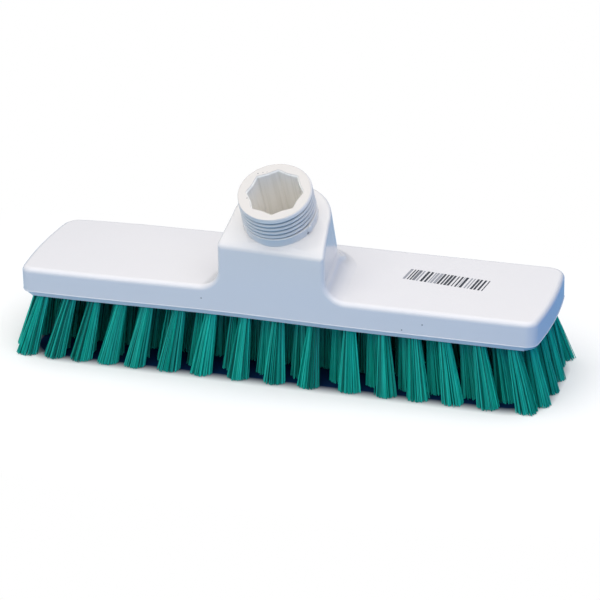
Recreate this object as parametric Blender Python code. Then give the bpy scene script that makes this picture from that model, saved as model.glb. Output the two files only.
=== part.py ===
"""Floor scrub brush head: one moulded block with a leaning threaded collar, and six rows of bristle tufts."""
import math

import bmesh
import bpy
from mathutils import Matrix, Vector

MM = 0.001

# Slab of the block. Heights are above the floor that the bristle tips stand on.
SLAB_LENGTH = 280.0 * MM
SLAB_WIDTH = 72.0 * MM
SLAB_THICKNESS = 15.9 * MM
BRISTLE_REACH = 34.6 * MM
UNDERSIDE = BRISTLE_REACH
SLAB_TOP = UNDERSIDE + SLAB_THICKNESS
LIP_RISE = 3.8 * MM
LIP_INSET = 1.4 * MM
END_BOW = 2.6 * MM
FRONT_CORNER_RADIUS = 5.5 * MM
BACK_CORNER_RADIUS = 8.0 * MM
EDGE_RADIUS = 2.9 * MM

# Boss that carries the collar: flat in front, cut by a leaning plane, with sides that narrow toward a round
# back, which leans with the collar. The fillet round its foot is smaller behind, where the slab ends.
COLLAR_TILT = math.radians(26.9)
COLLAR_SETBACK = 19.8 * MM
BOSS_RISE = 35.2 * MM
COLLAR_FOOT_Y = -SLAB_WIDTH / 2 + COLLAR_SETBACK
COLLAR_FOOT_Z = SLAB_TOP + BOSS_RISE
BOSS_HALF_WIDTH = 28.2 * MM
BOSS_SIDE_DRAFT = math.radians(0.8)
BOSS_NARROWING = math.radians(6.2)
BOSS_BACK_DEPTH = 21.6 * MM
BOSS_FILLET = 9.0 * MM
BOSS_BACK_FILLET = 3.5 * MM
BOSS_EDGE_RADIUS = 1.8 * MM
BOSS_ROOT = 8.0 * MM

# Collar, measured along its leaning axis from the boss's leaning top.
COLLAR_HEIGHT = 19.4 * MM
BAND_RADIUS = 19.6 * MM
BAND_HEIGHT = 4.5 * MM
THREAD_RADIUS = 19.2 * MM
FACE_RADIUS = 18.7 * MM
THREAD_LEAD_IN = 0.6 * MM
COLLAR_ROOT = 4.0 * MM

# Star socket for the handle's end.
STAR_POINTS = 8
STAR_RADIUS = 14.5 * MM
STAR_FLAT_DIP = 0.5 * MM
STAR_TURN = math.radians(8.2)
SOCKET_DEPTH = 50.0 * MM
SOCKET_TAPER = math.radians(1.0)
MOUTH_CHAMFER = 0.6 * MM

# Bristle rows: inset from the slab's long sides, offset from its middle line, and margins to its two ends.
OUTER_ROW_INSET = 6.3 * MM
MIDDLE_ROW_INSET = 15.5 * MM
INNER_ROW_OFFSET = 7.0 * MM
OUTER_ROW_Y = SLAB_WIDTH / 2 - OUTER_ROW_INSET
MIDDLE_ROW_Y = SLAB_WIDTH / 2 - MIDDLE_ROW_INSET
OUTER_ROW_MARGINS = (11.4 * MM, 14.1 * MM)
MIDDLE_ROW_MARGINS = (9.0 * MM, 10.0 * MM)
INNER_ROW_MARGINS = (9.0 * MM, 9.0 * MM)
OUTER_ROW_TUFTS = 16
MIDDLE_ROW_TUFTS = 17
INNER_ROW_TUFTS = 16
ROW_BUNCHING = 9.2 * MM
BUNCHED_SHARE = 0.72

# One tuft: five strands that spread from the root to the flat tips.
STRANDS = 5
TUFT_ROOT_RADIUS = 3.3 * MM
TUFT_TIP_HALF_LENGTH = 5.6 * MM
TUFT_TIP_HALF_WIDTH = 4.8 * MM
STRAND_INNER_SHARE = 0.24
STRAND_HALF_ANGLE = math.radians(26.0)
TUFT_TURN = math.radians(40.0)
LEAN_ALONG = 0.058
LEAN_ACROSS = 0.11
END_TUFT_LEAN = 2.0 * MM

# Slice of backing that joins the tufts of one row, let into a groove.
SLICE_HALF_WIDTH = 3.7 * MM
SLICE_THICKNESS = 2.4 * MM
SLICE_END_MARGIN = 4.2 * MM
FIT_GAP = 0.3 * MM

# The origin is under the middle of the whole head, which the collar makes longer in front.
THREAD_HEIGHT = COLLAR_HEIGHT - THREAD_LEAD_IN
FRONT_REACH = COLLAR_FOOT_Y - THREAD_HEIGHT * math.sin(COLLAR_TILT) - THREAD_RADIUS * math.cos(COLLAR_TILT)
BACK_REACH = OUTER_ROW_Y * (1.0 + LEAN_ACROSS) + TUFT_TIP_HALF_WIDTH
MIDDLE_SHIFT = -0.5 * (FRONT_REACH + BACK_REACH)

CORNER_STEPS = 6
END_STEPS = 8
EDGE_STEPS = 4
FILLET_STEPS = 5
BOSS_BACK_STEPS = 20
BOSS_CORNERS = 3
COLLAR_STEPS = 64
SLICE_END_STEPS = 8
HEIGHT_PASSES = 12
FILLET_SINK = 0.25 * MM
OVERRUN = 2.0 * MM
SMOOTH_ANGLE = math.radians(30)

BLOCK_COLOUR = (0.80, 0.80, 0.84, 1.0)
BRISTLE_COLOUR = (0.010, 0.300, 0.250, 1.0)


def clear_scene():
    for item in list(bpy.data.objects):
        bpy.data.objects.remove(item, do_unlink=True)


def make_material(name, colour, roughness):
    material = bpy.data.materials.new(name)
    material.use_nodes = True
    shader = material.node_tree.nodes["Principled BSDF"]
    shader.inputs["Base Color"].default_value = colour
    shader.inputs["Roughness"].default_value = roughness
    shader.inputs["Metallic"].default_value = 0.0
    material.diffuse_color = colour
    return material


def add_object(name, bm, material):
    bmesh.ops.recalc_face_normals(bm, faces=bm.faces[:])
    mesh = bpy.data.meshes.new(name)
    bm.to_mesh(mesh)
    bm.free()
    item = bpy.data.objects.new(name, mesh)
    bpy.context.collection.objects.link(item)
    item.data.materials.append(material)
    return item


def add_loft(bm, rings):
    """Join rings that hold the same number of points, and close both ends."""
    levels = [[bm.verts.new(point) for point in ring] for ring in rings]
    count = len(levels[0])
    for lower, upper in zip(levels, levels[1:]):
        for index in range(count):
            following = (index + 1) % count
            bm.faces.new((lower[index], lower[following], upper[following], upper[index]))
    bm.faces.new(levels[0][::-1])
    bm.faces.new(levels[-1])


def arc_points(centre, radius, start, end, steps):
    points = []
    for step in range(steps + 1):
        angle = start + (end - start) * step / steps
        points.append((centre[0] + radius * math.cos(angle), centre[1] + radius * math.sin(angle)))
    return points


def corner_centre(radius, end_radius, end_centre):
    """Centre of a corner arc that touches a long side and the bowed end, and the angle where it meets the end."""
    y = SLAB_WIDTH / 2 - radius
    x = end_centre + math.sqrt((end_radius - radius) ** 2 - y ** 2)
    return x, y, math.asin(y / (end_radius - radius))


def slab_outline(inset):
    """Plan outline of the slab: straight long sides, bowed ends, front corners tighter than back ones."""
    half_width = SLAB_WIDTH / 2
    end_radius = (half_width ** 2 + END_BOW ** 2) / (2 * END_BOW)
    end_centre = SLAB_LENGTH / 2 - end_radius
    front_x, front_y, front_turn = corner_centre(FRONT_CORNER_RADIUS, end_radius, end_centre)
    back_x, back_y, back_turn = corner_centre(BACK_CORNER_RADIUS, end_radius, end_centre)
    front = FRONT_CORNER_RADIUS - inset
    back = BACK_CORNER_RADIUS - inset
    right = arc_points((front_x, -front_y), front, -math.pi / 2, -front_turn, CORNER_STEPS)
    right += arc_points((end_centre, 0.0), end_radius - inset, -front_turn, back_turn, END_STEPS)[1:-1]
    right += arc_points((back_x, back_y), back, back_turn, math.pi / 2, CORNER_STEPS)
    left = [(-x, y) for x, y in reversed(right)]
    return right + left


def slab_ring(inset, height):
    return [(x, y, height) for x, y in slab_outline(inset)]


def build_slab(material):
    bm = bmesh.new()
    rings = [slab_ring(LIP_INSET, UNDERSIDE), slab_ring(0.0, UNDERSIDE + LIP_RISE)]
    for step in range(EDGE_STEPS + 1):
        angle = math.pi / 2 * step / EDGE_STEPS
        inset = EDGE_RADIUS * (1 - math.cos(angle))
        rings.append(slab_ring(inset, SLAB_TOP - EDGE_RADIUS + EDGE_RADIUS * math.sin(angle)))
    add_loft(bm, rings)
    return add_object("block", bm, material)


def leaning_top(y, drop):
    """Height of the boss's leaning top, or of a plane parallel to it and lower by drop."""
    return COLLAR_FOOT_Z + (y - COLLAR_FOOT_Y) * math.tan(COLLAR_TILT) - drop / math.cos(COLLAR_TILT)


def boss_plan(height):
    """Plan of the boss at one height: half width in front, and centre, half width and depth of the round back."""
    centre_y = COLLAR_FOOT_Y - (height - COLLAR_FOOT_Z) * math.tan(COLLAR_TILT)
    front = BOSS_HALF_WIDTH - (height - SLAB_TOP) * math.tan(BOSS_SIDE_DRAFT)
    back = front - (centre_y + SLAB_WIDTH / 2) * math.tan(BOSS_NARROWING)
    return front, centre_y, back, BOSS_BACK_DEPTH * (1 + math.tan(COLLAR_TILT) ** 2)


def boss_point(index, height, offset, front_inset):
    """Point of the boss outline: 0 and 1 are the front corners, the others run round the back half."""
    front, centre_y, back, depth = boss_plan(max(height, SLAB_TOP))
    front_y = -SLAB_WIDTH / 2 + front_inset
    if index == 0:
        return (-front - offset, front_y, height)
    if index == 1:
        return (front + offset, front_y, height)
    angle = math.pi * (index - 2) / BOSS_BACK_STEPS
    return ((back + offset) * math.cos(angle), centre_y + (depth + offset) * math.sin(angle), height)


def boss_fillet(index):
    """Radius of the fillet at one point of the outline."""
    if index < 2:
        return BOSS_FILLET
    angle = math.pi * (index - 2) / BOSS_BACK_STEPS
    return BOSS_FILLET + (BOSS_BACK_FILLET - BOSS_FILLET) * math.sin(angle) ** 2


def boss_foot_ring(height):
    return [boss_point(index, height, boss_fillet(index), 0.0) for index in range(BOSS_BACK_STEPS + BOSS_CORNERS)]


def boss_fillet_ring(angle):
    ring = []
    for index in range(BOSS_BACK_STEPS + BOSS_CORNERS):
        radius = boss_fillet(index)
        height = SLAB_TOP + radius * (1 - math.cos(angle))
        ring.append(boss_point(index, height, radius * (1 - math.sin(angle)), 0.0))
    return ring


def boss_top_ring(drop, inset):
    ring = []
    for index in range(BOSS_BACK_STEPS + BOSS_CORNERS):
        height = SLAB_TOP
        for _ in range(HEIGHT_PASSES):
            point = boss_point(index, height, -inset, inset)
            height = leaning_top(point[1], drop)
        ring.append((point[0], point[1], height))
    return ring


def build_boss(material):
    bm = bmesh.new()
    rings = [boss_foot_ring(SLAB_TOP - BOSS_ROOT), boss_foot_ring(SLAB_TOP - FILLET_SINK)]
    for step in range(1, FILLET_STEPS + 1):
        rings.append(boss_fillet_ring(math.pi / 2 * step / FILLET_STEPS))
    for step in range(EDGE_STEPS + 1):
        angle = math.pi / 2 * step / EDGE_STEPS
        drop = BOSS_EDGE_RADIUS * (1 - math.sin(angle))
        rings.append(boss_top_ring(drop, BOSS_EDGE_RADIUS * (1 - math.cos(angle))))
    add_loft(bm, rings)
    return add_object("boss_body", bm, material)


def collar_matrix():
    """Frame at the collar's foot, with its Z along the leaning collar."""
    place = Matrix.Translation(Vector((0.0, COLLAR_FOOT_Y, COLLAR_FOOT_Z)))
    return place @ Matrix.Rotation(COLLAR_TILT, 4, "X")


def turned_ring(radius, height):
    ring = []
    for step in range(COLLAR_STEPS):
        angle = 2 * math.pi * step / COLLAR_STEPS
        ring.append(collar_matrix() @ Vector((radius * math.cos(angle), radius * math.sin(angle), height)))
    return ring


def build_collar(material):
    bm = bmesh.new()
    step_in = BAND_RADIUS - THREAD_RADIUS
    profile = [
        (BAND_RADIUS, -COLLAR_ROOT),
        (BAND_RADIUS, BAND_HEIGHT),
        (THREAD_RADIUS, BAND_HEIGHT + step_in),
        (THREAD_RADIUS, THREAD_HEIGHT),
        (FACE_RADIUS, COLLAR_HEIGHT),
    ]
    add_loft(bm, [turned_ring(radius, height) for radius, height in profile])
    return add_object("collar_body", bm, material)


def star_ring(reduction, height):
    """Star outline: points with slightly hollowed flats between them."""
    ring = []
    flat = STAR_RADIUS * math.cos(math.pi / STAR_POINTS) - STAR_FLAT_DIP
    for step in range(2 * STAR_POINTS):
        radius = (STAR_RADIUS if step % 2 == 0 else flat) - reduction
        angle = math.pi / 2 + STAR_TURN + math.pi * step / STAR_POINTS
        ring.append(collar_matrix() @ Vector((radius * math.cos(angle), radius * math.sin(angle), height)))
    return ring


def build_socket_cutter(material):
    bm = bmesh.new()
    narrowing = (SOCKET_DEPTH - MOUTH_CHAMFER) * math.tan(SOCKET_TAPER)
    rings = [
        star_ring(narrowing, COLLAR_HEIGHT - SOCKET_DEPTH),
        star_ring(0.0, COLLAR_HEIGHT - MOUTH_CHAMFER),
        star_ring(-MOUTH_CHAMFER, COLLAR_HEIGHT),
        star_ring(-MOUTH_CHAMFER - OVERRUN, COLLAR_HEIGHT + OVERRUN),
    ]
    add_loft(bm, rings)
    return add_object("socket_cutter", bm, material)


def row_ends(margins):
    return (margins[0] - SLAB_LENGTH / 2, SLAB_LENGTH / 2 - margins[1])


def row_plan():
    """Every row, from front to back: name, distance across, end tufts, number of tufts."""
    front = [
        ("front_outer", -OUTER_ROW_Y, row_ends(OUTER_ROW_MARGINS), OUTER_ROW_TUFTS),
        ("front_middle", -MIDDLE_ROW_Y, row_ends(MIDDLE_ROW_MARGINS), MIDDLE_ROW_TUFTS),
        ("front_inner", -INNER_ROW_OFFSET, row_ends(INNER_ROW_MARGINS), INNER_ROW_TUFTS),
    ]
    back = [(name.replace("front", "back"), -y, ends, count) for name, y, ends, count in reversed(front)]
    return front + back


def tuft_positions(ends, count):
    """Tufts along a row, drawn toward one end as the drilled holes are."""
    positions = []
    for index in range(count):
        share = index / (count - 1)
        pull = ROW_BUNCHING * math.sin(math.pi * min(share / BUNCHED_SHARE, 1.0))
        positions.append(ends[0] + (ends[1] - ends[0]) * share - pull)
    return positions


def stadium_ring(y, ends, margin, half_width, height):
    """Long outline with round ends, for a row's slice and for its groove."""
    right = arc_points((ends[1] + margin - half_width, y), half_width, -math.pi / 2, math.pi / 2, SLICE_END_STEPS)
    left = arc_points((ends[0] - margin + half_width, y), half_width, math.pi / 2, 1.5 * math.pi, SLICE_END_STEPS)
    return [(x, side, height) for x, side in right + left]


def build_groove_cutter(material):
    bm = bmesh.new()
    margin = SLICE_END_MARGIN + FIT_GAP
    half_width = SLICE_HALF_WIDTH + FIT_GAP
    for _, y, ends, _ in row_plan():
        low = stadium_ring(y, ends, margin, half_width, UNDERSIDE - OVERRUN)
        high = stadium_ring(y, ends, margin, half_width, UNDERSIDE + SLICE_THICKNESS + FIT_GAP)
        add_loft(bm, [low, high])
    return add_object("groove_cutter", bm, material)


def strand_ring(centre, half_length, half_width, turn, height):
    """Four-sided section of one strand: a wedge of its tuft's oval section."""
    corners = [
        (STRAND_INNER_SHARE, -STRAND_HALF_ANGLE),
        (1.0, -STRAND_HALF_ANGLE),
        (1.0, STRAND_HALF_ANGLE),
        (STRAND_INNER_SHARE, STRAND_HALF_ANGLE),
    ]
    ring = []
    for share, angle in corners:
        x = centre[0] + share * half_length * math.cos(turn + angle)
        y = centre[1] + share * half_width * math.sin(turn + angle)
        ring.append((x, y, height))
    return ring


def add_tuft(bm, root, tip, turn):
    """Strands of one tuft, from inside the slice down to the flat floor plane."""
    sunk = SLICE_THICKNESS / 2
    for strand in range(STRANDS):
        angle = turn + 2 * math.pi * strand / STRANDS
        top = strand_ring(root, TUFT_ROOT_RADIUS, TUFT_ROOT_RADIUS, angle, UNDERSIDE + sunk)
        surface = strand_ring(root, TUFT_ROOT_RADIUS, TUFT_ROOT_RADIUS, angle, UNDERSIDE)
        bottom = strand_ring(tip, TUFT_TIP_HALF_LENGTH, TUFT_TIP_HALF_WIDTH, angle, 0.0)
        add_loft(bm, [bottom, surface, top])


def build_row(name, y, ends, count, material):
    strands = bmesh.new()
    positions = tuft_positions(ends, count)
    for index, x in enumerate(positions):
        tip_x = x * (1.0 + LEAN_ALONG)
        if index in (0, count - 1) and y > -OUTER_ROW_Y:
            tip_x += math.copysign(END_TUFT_LEAN, x)
        add_tuft(strands, (x, y), (tip_x, y * (1.0 + LEAN_ACROSS)), TUFT_TURN * index)
    cutter = add_object("strands_" + name, strands, material)
    slice_mesh = bmesh.new()
    low = stadium_ring(y, ends, SLICE_END_MARGIN, SLICE_HALF_WIDTH, UNDERSIDE)
    high = stadium_ring(y, ends, SLICE_END_MARGIN, SLICE_HALF_WIDTH, UNDERSIDE + SLICE_THICKNESS)
    add_loft(slice_mesh, [low, high])
    row = add_object("bristles_" + name, slice_mesh, material)
    add_boolean(row, cutter, "UNION")
    return row, cutter


def add_boolean(item, other, operation):
    modifier = item.modifiers.new(other.name, "BOOLEAN")
    modifier.operation = operation
    modifier.solver = "EXACT"
    modifier.object = other
    other.hide_render = True
    other.display_type = "WIRE"


def shade_round(item, angle):
    bpy.ops.object.select_all(action="DESELECT")
    item.select_set(True)
    bpy.context.view_layer.objects.active = item
    bpy.ops.object.shade_smooth()
    item.data.set_sharp_from_angle(angle=angle)


def place_on_middle(items):
    for item in items:
        item.location = (0.0, MIDDLE_SHIFT, 0.0)


def main():
    clear_scene()
    plastic = make_material("block_plastic", BLOCK_COLOUR, 0.35)
    bristle = make_material("bristle_fibre", BRISTLE_COLOUR, 0.45)
    block = build_slab(plastic)
    boss = build_boss(plastic)
    collar = build_collar(plastic)
    socket = build_socket_cutter(plastic)
    grooves = build_groove_cutter(plastic)
    add_boolean(block, boss, "UNION")
    add_boolean(block, collar, "UNION")
    add_boolean(block, socket, "DIFFERENCE")
    add_boolean(block, grooves, "DIFFERENCE")
    items = [block, boss, collar, socket, grooves]
    for name, y, ends, count in row_plan():
        items.extend(build_row(name, y, ends, count, bristle))
    place_on_middle(items)
    for item in (block, boss, collar):
        shade_round(item, SMOOTH_ANGLE)


main()
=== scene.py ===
import math

import bmesh
import bpy
import numpy as np
from mathutils import Matrix, Vector


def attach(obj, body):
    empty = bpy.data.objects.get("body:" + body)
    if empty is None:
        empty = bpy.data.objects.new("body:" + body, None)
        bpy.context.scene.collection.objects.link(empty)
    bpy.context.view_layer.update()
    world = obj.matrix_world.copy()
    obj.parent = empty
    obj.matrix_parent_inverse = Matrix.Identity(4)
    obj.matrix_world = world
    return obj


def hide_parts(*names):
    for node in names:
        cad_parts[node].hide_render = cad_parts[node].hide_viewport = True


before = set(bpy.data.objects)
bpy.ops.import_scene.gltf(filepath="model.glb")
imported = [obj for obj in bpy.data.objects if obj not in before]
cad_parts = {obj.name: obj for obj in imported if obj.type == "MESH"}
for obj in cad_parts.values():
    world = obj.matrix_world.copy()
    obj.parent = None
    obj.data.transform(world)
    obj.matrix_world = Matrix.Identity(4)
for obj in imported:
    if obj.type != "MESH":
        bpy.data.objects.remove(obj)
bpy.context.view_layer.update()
print("frame loaded:", len(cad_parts), "nodes")


tiny = 1e-5  # places closer than this are the same
sliver = 4e-6  # corners closer than this are welded
upright = 0.9  # a face whose normal rises more than this looks up


def clamp(value):
    return min(max(value, 0), 1)


def focus(*pieces):
    if bpy.context.mode != "OBJECT":
        bpy.ops.object.mode_set(mode="OBJECT")
    bpy.ops.object.select_all(action="DESELECT")
    for piece in pieces:
        piece.select_set(True)
    bpy.context.view_layer.objects.active = pieces[0]


def pick(piece, kind, test):  # edit mode, with only what passes the test selected
    if bpy.context.mode != "EDIT_MESH" or bpy.context.object is not piece:
        focus(piece)
        bpy.ops.object.mode_set(mode="EDIT")
    bpy.ops.mesh.select_mode(type=kind)
    bpy.ops.mesh.select_all(action="DESELECT")
    bm = bmesh.from_edit_mesh(piece.data)
    bm.normal_update()
    for item in {"VERT": bm.verts, "EDGE": bm.edges, "FACE": bm.faces}[kind]:
        if test(item):
            item.select_set(True)
    bmesh.update_edit_mesh(piece.data)


def leaveEdit():
    if bpy.context.mode != "OBJECT":
        bpy.ops.object.mode_set(mode="OBJECT")


def applyPlace(piece):
    focus(piece)
    bpy.ops.object.transform_apply(location=True, rotation=True, scale=True)


def applyModifier(piece, kind, **values):
    focus(piece)
    modifier = piece.modifiers.new(kind.lower(), kind)
    for name, value in values.items():
        setattr(modifier, name, value)
    bpy.ops.object.modifier_apply(modifier=modifier.name)


def combine(piece, other, operation):
    applyModifier(piece, "BOOLEAN", operation=operation, solver="EXACT", object=other)
    bpy.data.objects.remove(other, do_unlink=True)


def raiseSelected(height, widen=1.0):  # extrude what is selected, then scale it about the Z axis
    bpy.ops.mesh.extrude_region_move(TRANSFORM_OT_translate={"value": (0, 0, height)})
    if widen != 1.0:
        bpy.ops.transform.resize(value=(widen, widen, 1), center_override=(0, 0, 0))


def fixNormals(piece):
    pick(piece, "FACE", lambda face: True)
    bpy.ops.mesh.normals_make_consistent(inside=False)
    leaveEdit()


slabSizes = {  # the block is one moulding: slab, boss, collar, socket and tuft holes
    "length": 0.280, "width": 0.072, "middleY": 0.0020306,
    "underside": 0.0346, "lipHeight": 0.0027, "lipInset": 0.0014, "top": 0.0505,
    "frontCorner": 0.0055, "backCorner": 0.0080, "lipCorner": 0.0075, "cornerSteps": 8,
    "endBow": 0.0026, "bowSteps": 12, "edgeRound": 0.0029, "edgeSteps": 5, "edgeClear": 0.001,
    "beadRadius": 0.00045, "beadSunk": 0.00022, "beadSteps": 2,
    "flatWithin": math.radians(0.3), "smoothUpTo": math.radians(35),
}

bossSizes = {
    "footY": -0.0141694, "footZ": 0.0857, "tilt": math.radians(26.9),
    "halfWidth": 0.0289, "sideDraft": math.radians(0.8), "narrowing": math.radians(6.9), "backDepth": 0.0216,
    "sunk": 0.003, "rawRise": 0.07, "planSteps": 96,
    "fillet": 0.0104, "backFillet": 0.0035, "filletSteps": 9, "firstCut": -0.0001,
    "browY": -0.0304, "browTilt": math.radians(46), "browSlope": 0.02, "browReach": 0.0004, "browUpTo": 0.6,
    "topRound": 0.65, "frontRound": 0.48, "sideRound": 0.9, "browRound": 1.1,  # shares of the slab's edge round
    "sharpFrom": math.radians(38), "wallReach": 0.0001, "levelWithin": 0.003,  # which edges are rounded
}


def makeSlab():
    s = slabSizes
    lipTop = s["underside"] + s["lipHeight"]
    bpy.ops.mesh.primitive_plane_add(size=1, location=(0, s["middleY"], lipTop))
    block = bpy.context.object
    block.name = "brush_block"
    block.scale = (s["length"] - 2 * s["endBow"], s["width"], 1)
    applyPlace(block)
    pick(block, "VERT", lambda v: v.co.y < 0)
    bpy.ops.mesh.bevel(affect="VERTICES", offset=s["frontCorner"], segments=s["cornerSteps"], profile=0.5)
    pick(block, "VERT", lambda v: v.co.y > 0)
    bpy.ops.mesh.bevel(affect="VERTICES", offset=s["backCorner"], segments=s["cornerSteps"], profile=0.5)
    pick(block, "EDGE", lambda e: abs(e.verts[0].co.x - e.verts[1].co.x) < tiny and e.calc_length() > s["width"] / 2)
    bpy.ops.mesh.subdivide(number_cuts=s["bowSteps"])
    pick(block, "FACE", lambda face: True)
    raiseSelected(s["top"] - lipTop)
    bpy.ops.mesh.select_all(action="SELECT")
    bpy.ops.mesh.normals_make_consistent(inside=False)
    pick(block, "FACE", lambda face: face.normal.z < -upright)
    bpy.ops.mesh.inset(thickness=s["lipInset"])
    bpy.ops.transform.translate(value=(0, 0, -s["lipHeight"]))
    leaveEdit()
    halfLength, halfWidth = s["length"] / 2 - s["endBow"], s["width"] / 2
    wall, lip = s["frontCorner"], s["lipCorner"]
    for v in block.data.vertices:
        x, y = abs(v.co.x), v.co.y - s["middleY"]
        cornerX, cornerY = x - (halfLength - wall), -y - (halfWidth - wall)
        if v.co.z < s["underside"] + tiny and min(cornerX, cornerY) > -tiny:  # the lip's foot is rounder in front
            turn = math.atan2(max(cornerY, 0), max(cornerX, 0))
            v.co.x = math.copysign(halfLength - s["lipInset"] - lip + lip * math.cos(turn), v.co.x)
            v.co.y = s["middleY"] - (halfWidth - s["lipInset"] - lip + lip * math.sin(turn))
    for v in block.data.vertices:  # the ends bow outwards
        if abs(v.co.x) > halfLength / 2:
            across = (v.co.y - s["middleY"]) / halfWidth
            v.co.x += math.copysign(s["endBow"] * (1 - across ** 2), v.co.x)
    return block


def bossPlan(z):  # the back leans with the collar, so its centre moves back as the plan goes down
    s = bossSizes
    frontY = slabSizes["middleY"] - slabSizes["width"] / 2
    centreY = s["footY"] - (z - s["footZ"]) * math.tan(s["tilt"])
    front = s["halfWidth"] - (z - slabSizes["top"]) * math.tan(s["sideDraft"])
    return frontY, centreY, front, front - (centreY - frontY) * math.tan(s["narrowing"])


def makeBoss():
    s = bossSizes
    base = slabSizes["top"] - s["sunk"]
    rise = s["rawRise"]
    frontY, lowY, lowFront, lowBack = bossPlan(base)
    _, highY, highFront, highBack = bossPlan(base + rise)
    depth = s["backDepth"] * (1 + math.tan(s["tilt"]) ** 2)
    bpy.ops.mesh.primitive_circle_add(vertices=s["planSteps"], radius=depth, fill_type="NOTHING",
                                      location=(0, lowY, base))
    boss = bpy.context.object
    applyPlace(boss)
    pick(boss, "VERT", lambda v: v.co.y < lowY - tiny)
    bpy.ops.mesh.delete(type="VERT")
    pick(boss, "VERT", lambda v: True)
    bpy.ops.transform.resize(value=(lowBack / depth, 1, 1), center_override=(0, lowY, base))
    pick(boss, "VERT", lambda v: abs(v.co.y - lowY) < tiny)
    bpy.ops.mesh.extrude_vertices_move(TRANSFORM_OT_translate={"value": (0, frontY - lowY, 0)})
    bpy.ops.transform.resize(value=(lowFront / lowBack, 1, 1), center_override=(0, frontY, base))
    pick(boss, "VERT", lambda v: True)
    bpy.ops.mesh.edge_face_add()
    raiseSelected(rise)
    pick(boss, "VERT", lambda v: v.co.z > base + rise / 2 and v.co.y > lowY - tiny)
    bpy.ops.transform.translate(value=(0, highY - lowY, 0))
    bpy.ops.transform.resize(value=(highBack / lowBack, 1, 1), center_override=(0, highY, base + rise))
    pick(boss, "VERT", lambda v: v.co.z > base + rise / 2 and v.co.y < frontY + tiny)
    bpy.ops.transform.resize(value=(highFront / lowFront, 1, 1), center_override=(0, frontY, base + rise))
    bpy.ops.mesh.select_all(action="SELECT")
    bpy.ops.mesh.normals_make_consistent(inside=False)
    lean = (0, -math.sin(s["tilt"]), math.cos(s["tilt"]))
    bpy.ops.mesh.bisect(plane_co=(0, s["footY"], s["footZ"]), plane_no=lean, use_fill=True, clear_outer=True)
    brow = (0, s["browY"], s["footZ"] + (s["browY"] - s["footY"]) * math.tan(s["tilt"]))
    browLean = (s["browSlope"], -math.sin(s["browTilt"]), math.cos(s["browTilt"]))
    bpy.ops.mesh.select_all(action="SELECT")  # in front of the collar the top falls away more steeply
    bpy.ops.mesh.bisect(plane_co=brow, plane_no=browLean, use_fill=True, clear_outer=True)
    leaveEdit()
    return boss


def flareFoot(boss):  # the fillet round the foot, cut in steps and drawn out, smaller behind where the slab ends
    s, top = bossSizes, slabSizes["top"]
    steps = [s["fillet"] * (1 - math.cos(math.pi / 2 * (i + 1) / s["filletSteps"])) for i in range(s["filletSteps"])]
    for height in [s["firstCut"]] + steps:
        pick(boss, "FACE", lambda face: True)
        bpy.ops.mesh.bisect(plane_co=(0, 0, top + height), plane_no=(0, 0, 1))
    leaveEdit()
    for v in boss.data.vertices:
        frontY, centreY, front, back = bossPlan(v.co.z)
        depth = s["backDepth"] * (1 + math.tan(s["tilt"]) ** 2)
        behind = clamp((v.co.y - centreY) / depth)
        radius = s["fillet"] + (s["backFillet"] - s["fillet"]) * behind ** 2
        climb = 1 - clamp((v.co.z - top) / radius)
        flare = radius * (1 - math.sqrt(1 - climb ** 2))
        v.co.x *= 1 + flare / (front if v.co.y < frontY + tiny else back)
        if v.co.y > centreY:
            v.co.y += flare * behind


def roundEdges(piece, share, width, segments):  # bevels each edge by its own share of the width
    weights = piece.data.attributes.new("bevel_weight_edge", "FLOAT", "EDGE").data
    bm = bmesh.new()
    bm.from_mesh(piece.data)
    for e in bm.edges:
        if len(e.link_faces) == 2:
            weights[e.index].value = share(e)
    bm.free()
    applyModifier(piece, "BEVEL", width=width, segments=segments, limit_method="WEIGHT", use_clamp_overlap=False)


def roundBlock(block):
    s, b = slabSizes, bossSizes
    frontY = bossPlan(s["top"])[0]
    lipTop = s["underside"] + s["lipHeight"]
    filletTop = s["top"] + b["fillet"]
    pick(block, "FACE", lambda face: True)
    bpy.ops.mesh.dissolve_limited(angle_limit=s["flatWithin"])
    leaveEdit()

    def edgeShare(e):  # the slab's edges in full, the boss's finer
        low, high = sorted(v.co.z for v in e.verts)
        onBrow = low > filletTop and all(abs(v.co.y - b["browY"]) < b["browReach"] for v in e.verts)
        if onBrow and e.calc_face_angle() < b["browUpTo"]:
            return b["browRound"]
        if not e.is_convex or e.calc_face_angle() < b["sharpFrom"] or low < lipTop + s["edgeClear"]:
            return 0
        climb = clamp(((low + high) / 2 - s["top"]) / b["fillet"])
        inFront = all(abs(v.co.y - frontY) < b["wallReach"] for v in e.verts)
        if inFront and high - low < b["levelWithin"] and low > filletTop + b["levelWithin"]:  # the top's front edge
            return b["frontRound"]
        fullShare = b["sideRound"] if climb < 1 or inFront else b["topRound"]
        return 1 + (fullShare - 1) * climb

    roundEdges(block, edgeShare, s["edgeRound"], s["edgeSteps"])


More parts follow.
